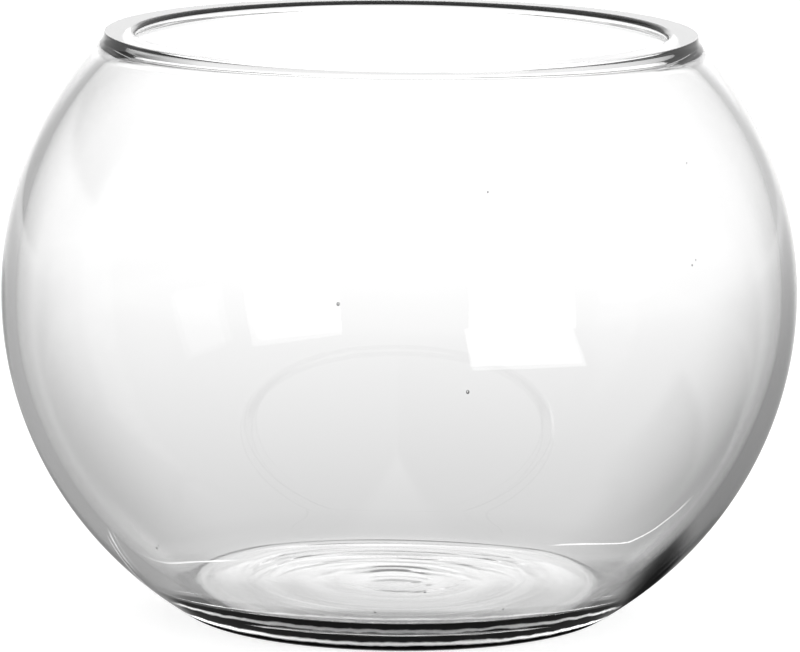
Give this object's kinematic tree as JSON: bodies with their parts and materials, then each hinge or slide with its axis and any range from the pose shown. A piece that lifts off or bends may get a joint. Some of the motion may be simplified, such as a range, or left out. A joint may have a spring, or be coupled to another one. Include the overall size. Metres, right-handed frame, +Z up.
{
  "type": "rose bowl vase",
  "caption": "Round clear glass bowl vase that draws in to a wide, flat-ground open mouth and stands on a flat foot ring; holds water and cut flowers.",
  "frame": {"origin": "centre of the foot, on the surface that the bowl stands on", "axes": "+Z up along the bowl's axis of symmetry; +X and +Y are any two level directions, because the bowl is round"},
  "size_m": [0.2032, 0.2032, 0.15],
  "materials": {
    "clear_glass": "clear and colourless, fire-polished, with a ground and polished rim"
  },
  "bodies": {
    "root": {"glass_bowl": "clear_glass"}
  },
  "joints": []
}
